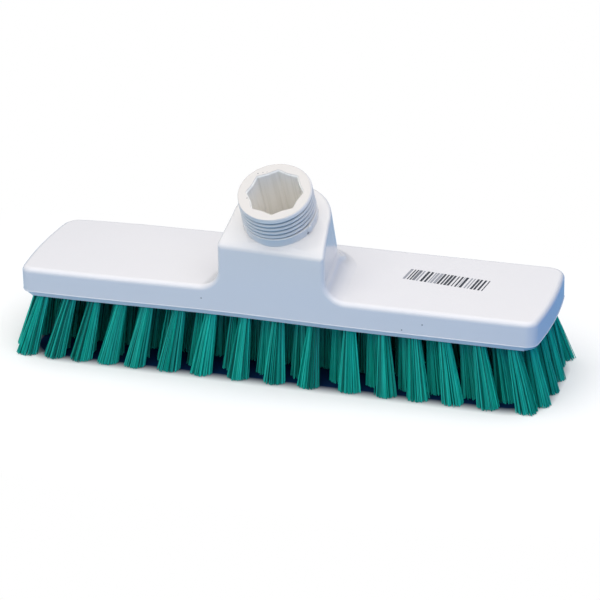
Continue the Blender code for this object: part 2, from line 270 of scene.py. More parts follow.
collarSizes = {
    "height": 0.0194, "bandRadius": 0.0196, "bandHeight": 0.0045, "coreRadius": 0.0171, "shoulderRadius": 0.0193,
    "ringRadius": 0.0190, "ringHeight": 0.0019, "ringRound": 0.0012, "ringSteps": 4, "root": 0.004,
    "turnSteps": 120, "leadIn": 0.0008, "leadSteps": 3,
    "shoulderSlope": 0.0003, "shoulderStep": 0.0001, "ringSlope": 0.0004, "ringGap": 0.0008,
    "threadPitch": 0.0028, "threadStart": 0.00125, "threadTurns": 7, "threadSteps": 96, "threadGap": 0.00006,
    "ridge": ((0.0168, -0.00134), (0.0177, -0.00126), (0.0185, -0.00104), (0.0190, -0.00074), (0.0192, -0.00040),
              (0.01926, 0.0), (0.0192, 0.00030), (0.0190, 0.00058), (0.0186, 0.00084), (0.0179, 0.00110),
              (0.0168, 0.00134)),
    "nubAngle": math.radians(-23), "nubHeight": 0.0028, "nubSize": (0.0010, 0.0019, 0.0024),
    "nubSegments": 20, "nubRings": 12,
}

socketSizes = {
    "points": 8, "radius": 0.0145, "flatDip": 0.0005, "turn": math.radians(8.2), "depth": 0.050,
    "taper": math.radians(1.0), "mouthFlare": 0.0008, "ridgeRound": 0.00035, "ridgeSteps": 2,
    "overrun": 0.003, "overrunWiden": 1.15,
}

rowSizes = {
    "outerY": 0.0297, "middleY": 0.0205, "innerY": 0.0070,
    "outerEnds": (-0.1286, 0.1259), "middleEnds": (-0.1310, 0.1300), "innerEnds": (-0.1310, 0.1310),
    "outerCount": 16, "middleCount": 17, "innerCount": 16, "bunching": 0.0092, "bunchedShare": 0.72,
    "frontRoots": (-0.1260, -0.1110, -0.0975, -0.0826, -0.0683, -0.0513, -0.0338, -0.0156,
                   0.0020, 0.0213, 0.0400, 0.0577, 0.0735, 0.0890, 0.1068, 0.1244),
    "secondRoots": (-0.1310, -0.1152, -0.1010, -0.0865, -0.0727, -0.0576, -0.0417, -0.0232, -0.0060,
                    0.0117, 0.0314, 0.0499, 0.0665, 0.0808, 0.0980, 0.1145, 0.1300),
    "holeRadius": 0.0031, "holeDepth": 0.0085, "drillReach": 0.002, "holeSteps": 24,
}


def weldSlivers(piece):
    pick(piece, "VERT", lambda v: True)
    bpy.ops.mesh.remove_doubles(threshold=sliver)
    bpy.ops.mesh.dissolve_degenerate(threshold=sliver)
    leaveEdit()


def placeOnBoss(piece):  # from the collar's own frame to its leaning place
    b = bossSizes
    piece.location = (0, b["footY"], b["footZ"])
    piece.rotation_euler = (b["tilt"], 0, 0)
    applyPlace(piece)


def topFace(height):
    return lambda face: face.normal.z > upright and abs(face.calc_center_median().z - height) < tiny


def makeCollar():
    c = collarSizes
    depth = c["root"] + c["bandHeight"]
    bpy.ops.mesh.primitive_cylinder_add(vertices=c["turnSteps"], radius=c["bandRadius"], depth=depth,
                                        location=(0, 0, c["bandHeight"] - depth / 2))
    collar = bpy.context.object
    applyPlace(collar)
    pick(collar, "FACE", topFace(c["bandHeight"]))
    raiseSelected(c["shoulderSlope"], c["shoulderRadius"] / c["bandRadius"])
    raiseSelected(c["shoulderStep"], c["coreRadius"] / c["shoulderRadius"])
    raiseSelected(c["height"] - c["ringHeight"] - c["bandHeight"] - c["ringGap"])
    raiseSelected(c["ringSlope"], c["ringRadius"] / c["coreRadius"])
    raiseSelected(c["ringHeight"])
    pick(collar, "EDGE", lambda e: all(abs(v.co.z - c["height"]) < tiny for v in e.verts))
    bpy.ops.mesh.bevel(affect="EDGES", offset=c["ringRound"], segments=c["ringSteps"], profile=0.5)
    leaveEdit()
    return collar


def makeThread():
    c = collarSizes
    mesh = bpy.data.meshes.new("thread")
    points = [(radius, 0, c["threadStart"] + height) for radius, height in c["ridge"]]
    mesh.from_pydata(points, [(i, (i + 1) % len(points)) for i in range(len(points))], [])
    thread = bpy.data.objects.new("thread", mesh)
    bpy.context.collection.objects.link(thread)
    applyModifier(thread, "SCREW", axis="Z", angle=2 * math.pi, screw_offset=c["threadPitch"],
                  iterations=c["threadTurns"], steps=c["threadSteps"], render_steps=c["threadSteps"],
                  use_merge_vertices=False)
    for isHigh in (False, True):  # close the thread's two ends
        isOpen = lambda e: len(e.link_faces) == 1 and (e.verts[0].co.z > c["height"] / 2) == isHigh
        pick(thread, "EDGE", isOpen)
        bpy.ops.mesh.edge_face_add()
    fixNormals(thread)
    return thread


def makeThreadLimit():  # the thread is turned off flush with the collar's face, with a small lead-in
    c = collarSizes
    top = c["height"] - c["threadGap"]
    depth = top + c["root"] / 2
    bpy.ops.mesh.primitive_cylinder_add(vertices=c["turnSteps"], radius=c["shoulderRadius"], depth=depth,
                                        location=(0, 0, top - depth / 2))
    limit = bpy.context.object
    applyPlace(limit)
    pick(limit, "EDGE", lambda e: all(abs(v.co.z - top) < tiny for v in e.verts))
    bpy.ops.mesh.bevel(affect="EDGES", offset=c["leadIn"], segments=c["leadSteps"], profile=0.5)
    leaveEdit()
    return limit


def makeNub():  # the small gate mark low on the collar
    c = collarSizes
    bpy.ops.mesh.primitive_uv_sphere_add(segments=c["nubSegments"], ring_count=c["nubRings"], radius=1)
    nub = bpy.context.object
    nub.scale = c["nubSize"]
    applyPlace(nub)
    angle, radius = c["nubAngle"], c["bandRadius"]
    nub.rotation_euler = (0, 0, angle)
    nub.location = (radius * math.cos(angle), radius * math.sin(angle), c["nubHeight"])
    applyPlace(nub)
    return nub


def makeSocketCutter():  # a star with hollowed flats that narrows downward, flared at the mouth
    k, c = socketSizes, collarSizes
    mouth = c["height"] - k["mouthFlare"]
    depth = k["depth"] - k["mouthFlare"]
    bpy.ops.mesh.primitive_cylinder_add(vertices=2 * k["points"], radius=k["radius"], depth=depth,
                                        location=(0, 0, mouth - depth / 2))
    star = bpy.context.object
    applyPlace(star)
    flat = math.cos(math.pi / k["points"]) - k["flatDip"] / k["radius"]
    step = math.pi / k["points"]
    pick(star, "VERT", lambda v: round((math.atan2(v.co.y, v.co.x) - math.pi / 2) / step) % 2 == 1)
    bpy.ops.transform.resize(value=(flat, flat, 1), center_override=(0, 0, 0))
    pick(star, "EDGE", lambda e: abs(e.verts[0].co.z - e.verts[1].co.z) > depth / 2)
    bpy.ops.mesh.bevel(affect="EDGES", offset=k["ridgeRound"], segments=k["ridgeSteps"], profile=0.5)
    pick(star, "VERT", lambda v: v.co.z < mouth - depth / 2)
    narrow = 1 - depth * math.tan(k["taper"]) / k["radius"]
    bpy.ops.transform.resize(value=(narrow, narrow, 1), center_override=(0, 0, 0))
    pick(star, "FACE", topFace(mouth))
    raiseSelected(k["mouthFlare"], 1 + k["mouthFlare"] / k["radius"])
    raiseSelected(k["overrun"], k["overrunWiden"])
    leaveEdit()
    star.rotation_euler = (0, 0, k["turn"])
    applyPlace(star)
    return star


def rootsAlong(ends, count):  # drawn towards -X, as the drilled holes are
    r = rowSizes
    roots = []
    for i in range(count):
        share = i / (count - 1)
        pull = r["bunching"] * math.sin(math.pi * min(share / r["bunchedShare"], 1))
        roots.append(ends[0] + (ends[1] - ends[0]) * share - pull)
    return roots


def tuftRows():
    r = rowSizes
    rows = {}
    for side, sign in (("front", -1), ("back", 1)):
        for line in ("outer", "middle", "inner"):
            rows[side + "_" + line] = (sign * r[line + "Y"], rootsAlong(r[line + "Ends"], r[line + "Count"]))
    rows["front_outer"] = (-r["outerY"], r["frontRoots"])  # the two rows in sight, hole by hole
    rows["front_middle"] = (-r["middleY"], r["secondRoots"])
    return rows


def makeHoleCutter():
    r, s = rowSizes, slabSizes
    depth = r["holeDepth"] + r["drillReach"]
    bpy.ops.mesh.primitive_cylinder_add(vertices=r["holeSteps"], radius=r["holeRadius"], depth=depth)
    drill = bpy.context.object
    drills = [drill]
    middle = s["underside"] + (r["holeDepth"] - r["drillReach"]) / 2
    for y, roots in tuftRows().values():
        for x in roots:
            copy = drill.copy()
            copy.data = drill.data.copy()
            copy.location = (x, y + s["middleY"], middle)
            bpy.context.collection.objects.link(copy)
            drills.append(copy)
    bpy.data.objects.remove(drills.pop(0), do_unlink=True)
    focus(*drills)
    bpy.ops.object.join()
    applyPlace(drills[0])
    return drills[0]


def makeBead(block):  # the parting line, a fine rib along the foot of the slab's wall
    s = slabSizes
    lipTop = s["underside"] + s["lipHeight"]
    pick(block, "EDGE", lambda e: all(abs(v.co.z - lipTop) < tiny for v in e.verts))
    bpy.ops.mesh.duplicate()
    bpy.ops.mesh.separate(type="SELECTED")
    leaveEdit()
    bead = [piece for piece in bpy.context.selected_objects if piece is not block][0]
    bead.name = "bead"
    inX = 1 - s["beadSunk"] / (s["length"] / 2)
    inY = 1 - s["beadSunk"] / (s["width"] / 2)
    pick(bead, "VERT", lambda v: True)
    bpy.ops.transform.resize(value=(inX, inY, 1), center_override=(0, s["middleY"], lipTop))
    leaveEdit()
    focus(bead)
    bpy.ops.object.convert(target="CURVE")
    bead.data.bevel_depth = s["beadRadius"]
    bead.data.bevel_resolution = s["beadSteps"]
    bpy.ops.object.convert(target="MESH")
    fixNormals(bead)
    return bead


warpSizes = {  # the moulding has swelled a little left of the boss and sunk at the back left corner
    "swell": 0.0009, "swellMiddle": -0.030, "swellReach": 0.085, "swellFade": 0.55,
    "droop": 0.0011, "droopFrom": -0.085, "droopReach": 0.045, "fadeHeight": 0.012, "flatWithin": 0.0001,
    "cutsX": range(-9, 10), "stepX": 0.0135, "cutsY": range(-1, 2), "stepY": 0.0131,
}


def warpSlab(block):
    s, w = slabSizes, warpSizes
    flat = lambda face: max(v.co.z for v in face.verts) < s["top"] + w["flatWithin"]
    for i in w["cutsX"]:
        pick(block, "FACE", flat)
        bpy.ops.mesh.bisect(plane_co=(i * w["stepX"], 0, 0), plane_no=(1, 0, 0))
    for i in w["cutsY"]:
        pick(block, "FACE", flat)
        bpy.ops.mesh.bisect(plane_co=(0, s["middleY"] + i * w["stepY"], 0), plane_no=(0, 1, 0))
    leaveEdit()
    for v in block.data.vertices:
        x, y, z = v.co
        back = clamp((y - s["middleY"]) / s["width"] + 0.5)
        away = clamp(abs(x - w["swellMiddle"]) / w["swellReach"])
        swell = math.cos(away * math.pi / 2) ** 2 * (1 - w["swellFade"] * back)
        droop = clamp((w["droopFrom"] - x) / w["droopReach"]) ** 2 * back
        low = 1 - clamp((z - s["top"]) / w["fadeHeight"])
        v.co.z += (w["swell"] * swell - w["droop"] * droop) * low


block = makeSlab()
bead = makeBead(block)
boss = makeBoss()
flareFoot(boss)
combine(block, boss, "UNION")
roundBlock(block)
combine(block, bead, "UNION")
print("slab and boss:", len(block.data.polygons), "faces")

collar = makeCollar()
thread = makeThread()
combine(thread, makeThreadLimit(), "INTERSECT")
combine(collar, thread, "UNION")
combine(collar, makeNub(), "UNION")
weldSlivers(collar)
placeOnBoss(collar)
combine(block, collar, "UNION")
weldSlivers(block)
star = makeSocketCutter()
placeOnBoss(star)
combine(block, star, "DIFFERENCE")
combine(block, makeHoleCutter(), "DIFFERENCE")
warpSlab(block)
print("block with collar, socket and holes:", len(block.data.polygons), "faces")


tuftSizes = {  # 98 bundles of fibre, one piece a row
    "strands": 130, "strandRadius": 0.00031, "bends": (0.45, 0.88), "sunk": 0.0030,
    "rootRadius": 0.0027, "tipHalfLength": 0.0060, "tipHalfWidth": 0.0048,
    "leanAlong": 0.062, "leanLeft": 0.0012, "leanAcross": 0.11,
    "endTips": {"front_middle": (-0.1414, 0.1382), "front_inner": (-0.1395, 0.1390), "back_inner": (-0.1390, 0.1387),
                "back_middle": (-0.1400, 0.1353), "back_outer": (-0.1380, 0.1379)},
    "frontLeans": (-0.0113, -0.0113, -0.0097, -0.0095, -0.0088, -0.0072, -0.0064, -0.0044,
                   -0.0024, -0.0031, 0.0002, 0.0019, 0.0029, 0.0056, 0.0064, 0.0090),
    "clumps": 9, "clumpPull": 0.16, "jitter": 0.00022, "belly": 0.05, "darkShare": 0.13,
    "unevenness": 0.0006, "tipGap": 0.00002, "strays": 0.008, "strayReach": 0.0010, "seed": 17, "endFrom": 0.125,
    "goldenTurn": 2.39996, "fullTurn": 6.28, "scatter": 0.03, "clumpSpread": 0.95, "pulls": (0.4, 1.2),
    "thicknesses": (0.85, 1.12), "tones": (0.35, 0.40, 0.25), "smoothUpTo": math.radians(70),
}


def makeFilament():  # one three-sided fibre a unit long, cut where it bends
    bpy.ops.mesh.primitive_cylinder_add(vertices=3, radius=tuftSizes["strandRadius"], depth=1, location=(0, 0, 0.5))
    filament = bpy.context.object
    applyPlace(filament)
    for share in tuftSizes["bends"]:
        pick(filament, "FACE", lambda face: True)
        bpy.ops.mesh.bisect(plane_co=(0, 0, share), plane_no=(0, 0, 1))
    leaveEdit()
    return filament


def tipPlace(rowName, y, index, x):
    t = tuftSizes
    if rowName == "front_outer":
        return x + t["frontLeans"][index], y * (1 + t["leanAcross"])
    tipX = x * (1 + t["leanAlong"]) - t["leanLeft"]
    if abs(x) > t["endFrom"]:  # the end tufts splay out on their own
        tipX = t["endTips"][rowName][int(x > 0)]
    return tipX, y * (1 + t["leanAcross"])


def spreadInDisc(dice, count):  # evenly scattered over a unit disc
    t = tuftSizes
    turn = np.arange(count) * t["goldenTurn"] + dice.uniform(0, t["fullTurn"])
    reach = np.sqrt((np.arange(count) + 0.5) / count)
    places = np.stack([reach * np.cos(turn), reach * np.sin(turn)], axis=1)
    return places + dice.normal(0, t["scatter"], places.shape)


def layTuft(dice, filamentPoints, root, tip):
    t, s = tuftSizes, slabSizes
    count = t["strands"]
    disc = spreadInDisc(dice, count)
    disc /= np.maximum(1, np.linalg.norm(disc, axis=1))[:, None]
    clumps = spreadInDisc(dice, t["clumps"]) * t["clumpSpread"]
    nearest = np.argmin(((disc[:, None, :] - clumps[None]) ** 2).sum(axis=2), axis=1)
    tipDisc = disc + (clumps[nearest] - disc) * t["clumpPull"] * dice.uniform(*t["pulls"], (count, 1))
    tipDisc /= np.maximum(1, np.linalg.norm(tipDisc, axis=1))[:, None]
    rootXY = np.array(root) + disc * t["rootRadius"]
    tipReach = (t["tipHalfLength"], t["tipHalfWidth"])
    tipXY = np.array(tip) + tipDisc * tipReach + dice.normal(0, t["jitter"], (count, 2))
    stray = dice.random(count) < t["strays"]
    tipXY[stray] += dice.normal(0, t["strayReach"], (int(stray.sum()), 2))
    tipZ = t["unevenness"] * dice.random(count) ** 2 + t["tipGap"]
    rootZ = s["underside"] + t["sunk"]
    height = filamentPoints[:, 2]  # 0 at the tip, 1 at the root
    along = height - t["belly"] * height * (1 - height)
    xy = tipXY[:, None, :] + (rootXY - tipXY)[:, None, :] * along[None, :, None]
    turn = dice.uniform(0, 2 * math.pi, count)
    thick = dice.uniform(*t["thicknesses"], count)
    px, py = filamentPoints[:, 0], filamentPoints[:, 1]
    points = np.empty((count, len(filamentPoints), 3))
    points[:, :, 0] = xy[:, :, 0] + thick[:, None] * (px * np.cos(turn)[:, None] - py * np.sin(turn)[:, None])
    points[:, :, 1] = xy[:, :, 1] + thick[:, None] * (px * np.sin(turn)[:, None] + py * np.cos(turn)[:, None])
    points[:, :, 2] = tipZ[:, None] + (rootZ - tipZ)[:, None] * height[None, :]
    least, own, shared = t["tones"]
    clumpTone = dice.random(t["clumps"])[nearest]
    tone = np.clip(least + own * dice.random(count) + shared * clumpTone, 0, 1)
    tone[dice.random(count) < t["darkShare"]] = 0
    return points, tone


def addValues(mesh, name, values):  # one number a point, for a finish to read
    mesh.attributes.new(name, "FLOAT", "POINT").data.foreach_set("value", values.astype(np.float32))


def makeRow(name, y, roots, filament):
    dice = np.random.default_rng(tuftSizes["seed"] + len(name) * 7 + int(abs(y) * 1e4) + (y > 0))
    filamentPoints = np.array([tuple(v.co) for v in filament.data.vertices])
    filamentFaces = [tuple(face.vertices) for face in filament.data.polygons]
    middleY = slabSizes["middleY"]
    points, tones = [], []
    for index, x in enumerate(roots):
        tipX, tipY = tipPlace(name, y, index, x)
        tuft, tone = layTuft(dice, filamentPoints, (x, y + middleY), (tipX, tipY + middleY))
        points.append(tuft)
        tones.append(tone)
    points = np.concatenate(points)
    tones = np.concatenate(tones)
    size = len(filamentPoints)
    faces = [tuple(i + n * size for i in face) for n in range(len(points)) for face in filamentFaces]
    mesh = bpy.data.meshes.new("tufts_" + name)
    mesh.from_pydata(points.reshape(-1, 3).tolist(), [], faces)
    addValues(mesh, "strandTone", np.repeat(tones, size))
    addValues(mesh, "along", np.tile(filamentPoints[:, 2], len(points)))
    row = bpy.data.objects.new("tufts_" + name, mesh)
    bpy.context.collection.objects.link(row)
    focus(row)
    bpy.ops.object.shade_smooth_by_angle(angle=tuftSizes["smoothUpTo"])
    return row


filament = makeFilament()
tufts = {name: makeRow(name, y, roots, filament) for name, (y, roots) in tuftRows().items()}
bpy.data.objects.remove(filament, do_unlink=True)
print("tufts:", sum(len(row.data.polygons) for row in tufts.values()), "faces in", len(tufts), "rows")


printSizes = {  # plain stripes of made-up widths
    "middle": (0.0819, 0.0071), "length": 0.0440, "reach": 0.0128, "turn": math.radians(-6.2),
    "thickness": 0.00004, "sunk": 0.00001, "stripes": (0.00035, 0.0016), "gaps": (0.0004, 0.0013), "seed": 5,
}


def makeBars():
    p = printSizes
    dice = np.random.default_rng(p["seed"])
    bars = []
    x = -p["length"] / 2
    while True:
        wide = dice.uniform(*p["stripes"])
        if x + wide > p["length"] / 2:
            break
        bpy.ops.mesh.primitive_plane_add(size=1, location=(x + wide / 2, 0, slabSizes["top"] - p["sunk"]))
        bar = bpy.context.object
        bar.scale = (wide, p["reach"], 1)
        applyPlace(bar)
        pick(bar, "FACE", lambda face: True)
        raiseSelected(p["thickness"])
        bpy.ops.mesh.select_all(action="SELECT")
        bpy.ops.mesh.normals_make_consistent(inside=False)
        leaveEdit()
        addValues(bar.data, "inkTone", np.full(len(bar.data.vertices), dice.random()))
        bars.append(bar)
        x += wide + dice.uniform(*p["gaps"])
    focus(*bars)
    bpy.ops.object.join()
    sheet = bars[0]
    sheet.name = "print_bars"
    sheet.rotation_euler = (0, 0, p["turn"])
    sheet.location = (p["middle"][0], p["middle"][1], 0)
    applyPlace(sheet)
    return sheet


bars = makeBars()
print("printed bars:", len(bars.data.polygons), "faces")


def newGroup(name, inputs, outputs):
    tree = bpy.data.node_groups.new(name, "ShaderNodeTree")
    for label, value in inputs.items():
        socket = tree.interface.new_socket(name=label, in_out="INPUT", socket_type="NodeSocketFloat")
        socket.default_value = value
    for label in outputs:
        tree.interface.new_socket(name=label, in_out="OUTPUT", socket_type="NodeSocketFloat")
    return tree, tree.nodes.new("NodeGroupInput").outputs, tree.nodes.new("NodeGroupOutput").inputs


def addNode(tree, kind, inputs=None, **settings):  # an input is linked to a socket, or set to a value
    node = tree.nodes.new("ShaderNode" + kind)
    for name, value in settings.items():
        setattr(node, name, value)
    for name, value in (inputs or {}).items():
        if isinstance(value, bpy.types.NodeSocket):
            tree.links.new(value, node.inputs[name])
        else:
            node.inputs[name].default_value = value
    return node


def mixColours(tree, share, first, second):
    return addNode(tree, "Mix", {0: share, 6: first, 7: second}, data_type="RGBA").outputs[2]


def mixShaders(tree, share, first, second):
    return addNode(tree, "MixShader", {0: share, 1: first, 2: second}).outputs[0]


def ramp(tree, value, low, high, toLow=0.0, toHigh=1.0):
    inputs = {"Value": value, "From Min": low, "From Max": high, "To Min": toLow, "To Max": toHigh}
    return addNode(tree, "MapRange", inputs).outputs["Result"]


def maths(tree, operation, first, second=0.0):
    return addNode(tree, "Math", {0: first, 1: second}, operation=operation).outputs[0]


def noise(tree, place, scale, detail, roughness):
    inputs = {"Vector": place, "Scale": scale, "Detail": detail, "Roughness": roughness}
    return addNode(tree, "TexNoise", inputs).outputs["Fac"]


def scaled(tree, vector, factors):
    return addNode(tree, "VectorMath", {0: vector, 1: factors}, operation="MULTIPLY").outputs[0]


def lengthOf(tree, vector):
    return addNode(tree, "VectorMath", {0: vector}, operation="LENGTH").outputs["Value"]


def axes(tree, vector):
    return addNode(tree, "SeparateXYZ", {"Vector": vector}).outputs


grainLook = {"Grain Scale": 1400.0, "Tone Scale": 30.0, "Stretch": 1.0}
grainNoise = {"fine": (2.0, 0.6), "slow": (3.0, 0.5), "slowRange": (0.3, 0.7)}
dustLook = {"Amount": 0.2, "Patch Scale": 60.0}
dustNoise = {"patches": (4.0, 0.65), "upRange": (0.1, 0.9), "patchRange": (0.45, 0.75)}


def buildFineGrain():  # the skin of the moulding: fine grain in height, slow change in tone
    tree, given, put = newGroup("fineGrain", grainLook, ("Height", "Tone"))
    coords = addNode(tree, "TexCoord").outputs["Object"]
    scale = addNode(tree, "CombineXYZ", {"X": 1.0, "Y": 1.0, "Z": given["Stretch"]}).outputs[0]
    place = scaled(tree, coords, scale)
    fine = noise(tree, place, given["Grain Scale"], *grainNoise["fine"])
    slow = noise(tree, place, given["Tone Scale"], *grainNoise["slow"])
    tree.links.new(fine, put["Height"])
    tree.links.new(ramp(tree, slow, *grainNoise["slowRange"]), put["Tone"])
    return tree


def buildSettledDust():  # dust that lies in patches on what faces up
    tree, given, put = newGroup("settledDust", dustLook, ("Mask",))
    coords = addNode(tree, "TexCoord").outputs["Object"]
    up = axes(tree, addNode(tree, "NewGeometry").outputs["Normal"])["Z"]
    patches = noise(tree, coords, given["Patch Scale"], *dustNoise["patches"])
    facesUp = ramp(tree, up, *dustNoise["upRange"])
    mask = maths(tree, "MULTIPLY", facesUp, ramp(tree, patches, *dustNoise["patchRange"]))
    tree.links.new(maths(tree, "MULTIPLY", mask, given["Amount"]), put["Mask"])
    return tree


def addGroup(tree, group, **inputs):
    node = tree.nodes.new("ShaderNodeGroup")
    node.node_tree = group
    for name, value in inputs.items():
        node.inputs[name].default_value = value
    return node.outputs


def newFinish(name):
    finish = bpy.data.materials.new(name)
    finish.use_nodes = True
    return finish, finish.node_tree, finish.node_tree.nodes["Principled BSDF"]


fineGrain = buildFineGrain()
settledDust = buildSettledDust()

def addSkin(tree, shader, grain, look):  # roughness from the tone, bumps from the height
    inputs = {"Height": grain["Height"], "Strength": look["bump"], "Distance": look["bumpHeight"]}
    tree.links.new(addNode(tree, "Bump", inputs).outputs[0], shader.inputs["Normal"])
    shader.inputs["IOR"].default_value = look["ior"]
    return ramp(tree, grain["Tone"], 0.0, 1.0, *look["roughness"])


plasticLook = {
    # the warm colour is painted warm light, laid on the boss and collar by height
    "cool": (0.815, 0.800, 0.820, 1), "warmLight": (0.840, 0.805, 0.770, 1), "warmRange": (0.052, 0.088),
    "shade": (0.795, 0.785, 0.815, 1), "shadeShare": 0.35,
    "grain": {"Grain Scale": 1700.0, "Tone Scale": 26.0},
    "dust": (0.68, 0.67, 0.66, 1), "settled": {"Amount": 0.05, "Patch Scale": 40.0},
    # the bore's pale colour is painted light, for light passing through the thin walls
    "bore": (0.99, 0.965, 0.925, 1), "boreRadius": 0.0150, "boreTop": 0.0185, "boreSoft": 0.0005,
    # the bore's darker streaks are painted shade
    "boreShadeStreak": (0.86, 0.84, 0.79, 1), "streakStretch": (1, 1, 0.04), "streakRange": (0.48, 0.70),
    "streakNoise": (520.0, 3.0, 0.5),
    # the darker rim colour on the collar's top face is painted shade, toning down the light it catches
    "rim": (0.710, 0.675, 0.645, 1), "rimTop": 0.0193, "rimSoft": 0.0002,
    # the groove colours are painted shade in the thread, blue-grey to the left and near black on the right
    "grooveShade": (0.22, 0.35, 0.46, 1), "grooveShadeRight": (0.05, 0.065, 0.07, 1), "rightRange": (0.002, 0.018),
    "grooveShadeReach": (0.0174, 0.0190), "bandSoft": 0.0003,
    "roughness": (0.10, 0.17), "bump": 0.35, "bumpHeight": 0.00006, "ior": 1.49,
    "speck": (0.16, 0.15, 0.17, 1), "speckCore": 0.5, "speckShare": 0.8,
    "specks": ((0.0690, -0.0340, 0.0393, 0.0005), (0.0797, -0.0340, 0.0434, 0.0005),
               (-0.0376, -0.0340, 0.0446, 0.0005), (-0.0119, -0.0132, 0.1080, 0.00045),
               (-0.0095, -0.0123, 0.1084, 0.00035), (-0.0075, -0.0118, 0.1087, 0.0003),
               (-0.0131, -0.0281, 0.1004, 0.00045), (0.0172, -0.0229, 0.0823, 0.0010)),
}


def makeWhitePlastic():
    look, b, band = plasticLook, bossSizes, collarSizes["bandHeight"]
    finish, tree, shader = newFinish("whitePlastic")
    grain = addGroup(tree, fineGrain, **look["grain"])
    dust = addGroup(tree, settledDust, **look["settled"])
    coords = addNode(tree, "TexCoord").outputs["Object"]
    # the boss and collar turn warmer upwards: painted warm light
    body = mixColours(tree, ramp(tree, axes(tree, coords)["Z"], *look["warmRange"]), look["cool"], look["warmLight"])
    body = mixColours(tree, maths(tree, "MULTIPLY", grain["Tone"], look["shadeShare"]), body, look["shade"])
    body = mixColours(tree, dust["Mask"], body, look["dust"])

    onBoss = {"Vector": coords, "Location": (0, b["footY"], b["footZ"]), "Rotation": (b["tilt"], 0, 0)}
    inCollar = addNode(tree, "Mapping", onBoss, vector_type="TEXTURE").outputs[0]
    place = axes(tree, inCollar)
    level = place["Z"]
    reach = lengthOf(tree, scaled(tree, inCollar, (1, 1, 0)))
    aboveBand = ramp(tree, level, band - look["bandSoft"], band)
    belowMouth = ramp(tree, level, look["boreTop"] - look["boreSoft"], look["boreTop"], 1.0, 0.0)
    # painted shade in the thread's grooves, darkest on the right side
    inGroove = maths(tree, "MULTIPLY", ramp(tree, reach, *look["grooveShadeReach"], 1.0, 0.0),
                     maths(tree, "MULTIPLY", aboveBand, belowMouth))
    grooveShade = mixColours(tree, ramp(tree, place["X"], *look["rightRange"]), look["grooveShade"], look["grooveShadeRight"])
    body = mixColours(tree, inGroove, body, grooveShade)
    # the collar's top face is darkened and warmed: painted shade against the light it catches
    rimRange = (look["rimTop"] - look["rimSoft"], look["rimTop"])
    body = mixColours(tree, ramp(tree, level, *rimRange), body, look["rim"])

    inBore = ramp(tree, reach, look["boreRadius"], look["boreRadius"] + look["boreSoft"], 1.0, 0.0)
    inBore = maths(tree, "MULTIPLY", inBore, ramp(tree, level, *rimRange, 1.0, 0.0))
    # darker streaks along the bore: painted shade
    shadeStreaks = noise(tree, scaled(tree, inCollar, look["streakStretch"]), *look["streakNoise"])
    bore = mixColours(tree, ramp(tree, shadeStreaks, *look["streakRange"]), look["bore"], look["boreShadeStreak"])
    body = mixColours(tree, inBore, body, bore)  # the paler colour in the bore is painted light, for light passing through its thin walls, and its darker streaks are painted shade
    for x, y, z, radius in look["specks"]:
        away = addNode(tree, "VectorMath", {0: coords, 1: (x, y, z)}, operation="DISTANCE").outputs["Value"]
        share = ramp(tree, away, radius * look["speckCore"], radius, look["speckShare"], 0.0)
        body = mixColours(tree, share, body, look["speck"])
    tree.links.new(body, shader.inputs["Base Color"])
    rough = maths(tree, "ADD", addSkin(tree, shader, grain, look), dust["Mask"])
    tree.links.new(rough, shader.inputs["Roughness"])
    return finish


fibreLook = {
    "deep": (0.001, 0.130, 0.100, 1), "bright": (0.014, 0.710, 0.540, 1), "streaks": (0.75, 1.15),
    "tip": (0.020, 0.500, 0.390, 1), "tipReach": 0.06, "tipShare": 0.35,
    "grain": {"Grain Scale": 2600.0, "Tone Scale": 420.0, "Stretch": 0.06},
    "dust": (0.45, 0.60, 0.55, 1), "settled": {"Amount": 0.15, "Patch Scale": 300.0},
    "roughness": (0.32, 0.5), "bump": 0.2, "bumpHeight": 0.00004, "ior": 1.4,
}


def makeTealFibre():
    look = fibreLook
    finish, tree, shader = newFinish("tealFibre")
    tone = addNode(tree, "Attribute", attribute_name="strandTone").outputs["Fac"]
    along = addNode(tree, "Attribute", attribute_name="along").outputs["Fac"]
    grain = addGroup(tree, fineGrain, **look["grain"])
    dust = addGroup(tree, settledDust, **look["settled"])
    streaked = maths(tree, "MULTIPLY", tone, ramp(tree, grain["Tone"], 0.0, 1.0, *look["streaks"]))
    body = mixColours(tree, streaked, look["deep"], look["bright"])
    body = mixColours(tree, ramp(tree, along, 0.0, look["tipReach"], look["tipShare"], 0.0), body, look["tip"])
    body = mixColours(tree, dust["Mask"], body, look["dust"])
    tree.links.new(body, shader.inputs["Base Color"])
    tree.links.new(addSkin(tree, shader, grain, look), shader.inputs["Roughness"])
    return finish


inkLook = {
    "dark": (0.010, 0.016, 0.030, 1), "pale": (0.30, 0.31, 0.35, 1), "paleRange": (0.50, 0.80),
    "rubbed": (0.70, 0.71, 0.75, 1), "rubbedRange": (0.55, 0.75), "rubbedShare": 0.5,
    "grain": {"Grain Scale": 2200.0, "Tone Scale": 160.0}, "roughness": (0.35, 0.55),
}


def makeInk():
    look = inkLook
    finish, tree, shader = newFinish("stripeInk")
    tone = addNode(tree, "Attribute", attribute_name="inkTone").outputs["Fac"]
    grain = addGroup(tree, fineGrain, **look["grain"])
    body = mixColours(tree, ramp(tree, tone, *look["paleRange"]), look["dark"], look["pale"])
    rubbed = ramp(tree, grain["Height"], *look["rubbedRange"], 0.0, look["rubbedShare"])
    body = mixColours(tree, rubbed, body, look["rubbed"])
    tree.links.new(body, shader.inputs["Base Color"])
    tree.links.new(ramp(tree, grain["Tone"], 0.0, 1.0, *look["roughness"]), shader.inputs["Roughness"])
    return finish


def dress(piece, finish, slot, *nodes):
    piece.data.materials.clear()
    piece.data.materials.append(finish)
    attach(piece, "root")
    if nodes:
        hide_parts(*nodes)


